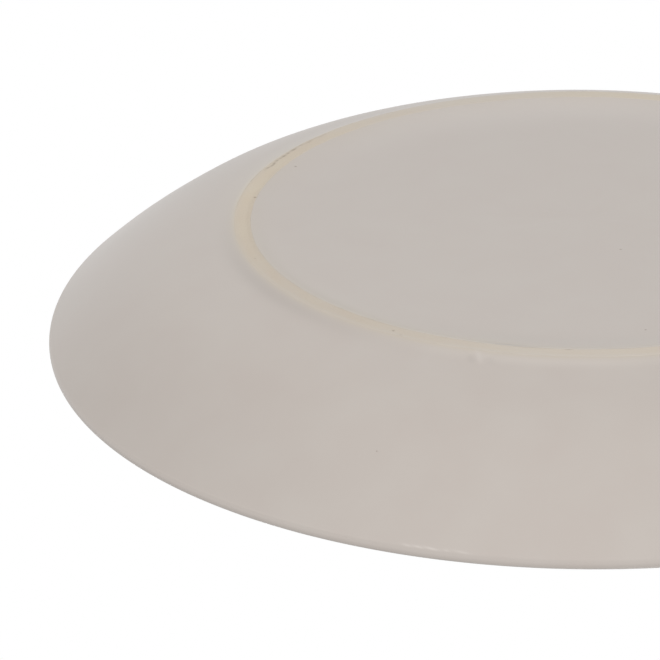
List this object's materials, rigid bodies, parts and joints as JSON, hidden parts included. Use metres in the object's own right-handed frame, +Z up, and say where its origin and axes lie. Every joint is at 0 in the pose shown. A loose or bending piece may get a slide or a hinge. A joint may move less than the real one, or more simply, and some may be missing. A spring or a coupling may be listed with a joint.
{
  "type": "candle plate",
  "caption": "Round shallow stoneware candle plate with a flat well, a curved flaring wall, a rounded lip and a low bare foot ring, under a satin off-white glaze.",
  "frame": {"origin": "centre of the foot ring, on the surface that the plate stands on", "axes": "+Z up through the well, on the plate's axis of revolution; +X and +Y are any two square directions in the standing surface"},
  "size_m": [0.28, 0.28, 0.0316],
  "materials": {
    "stoneware": "bare fired clay, matt",
    "satin_glaze": "satin"
  },
  "bodies": {
    "root": {"dish_body": "stoneware", "foot_ring": "stoneware", "dish_glaze": "satin_glaze", "base_glaze": "satin_glaze"}
  },
  "joints": []
}
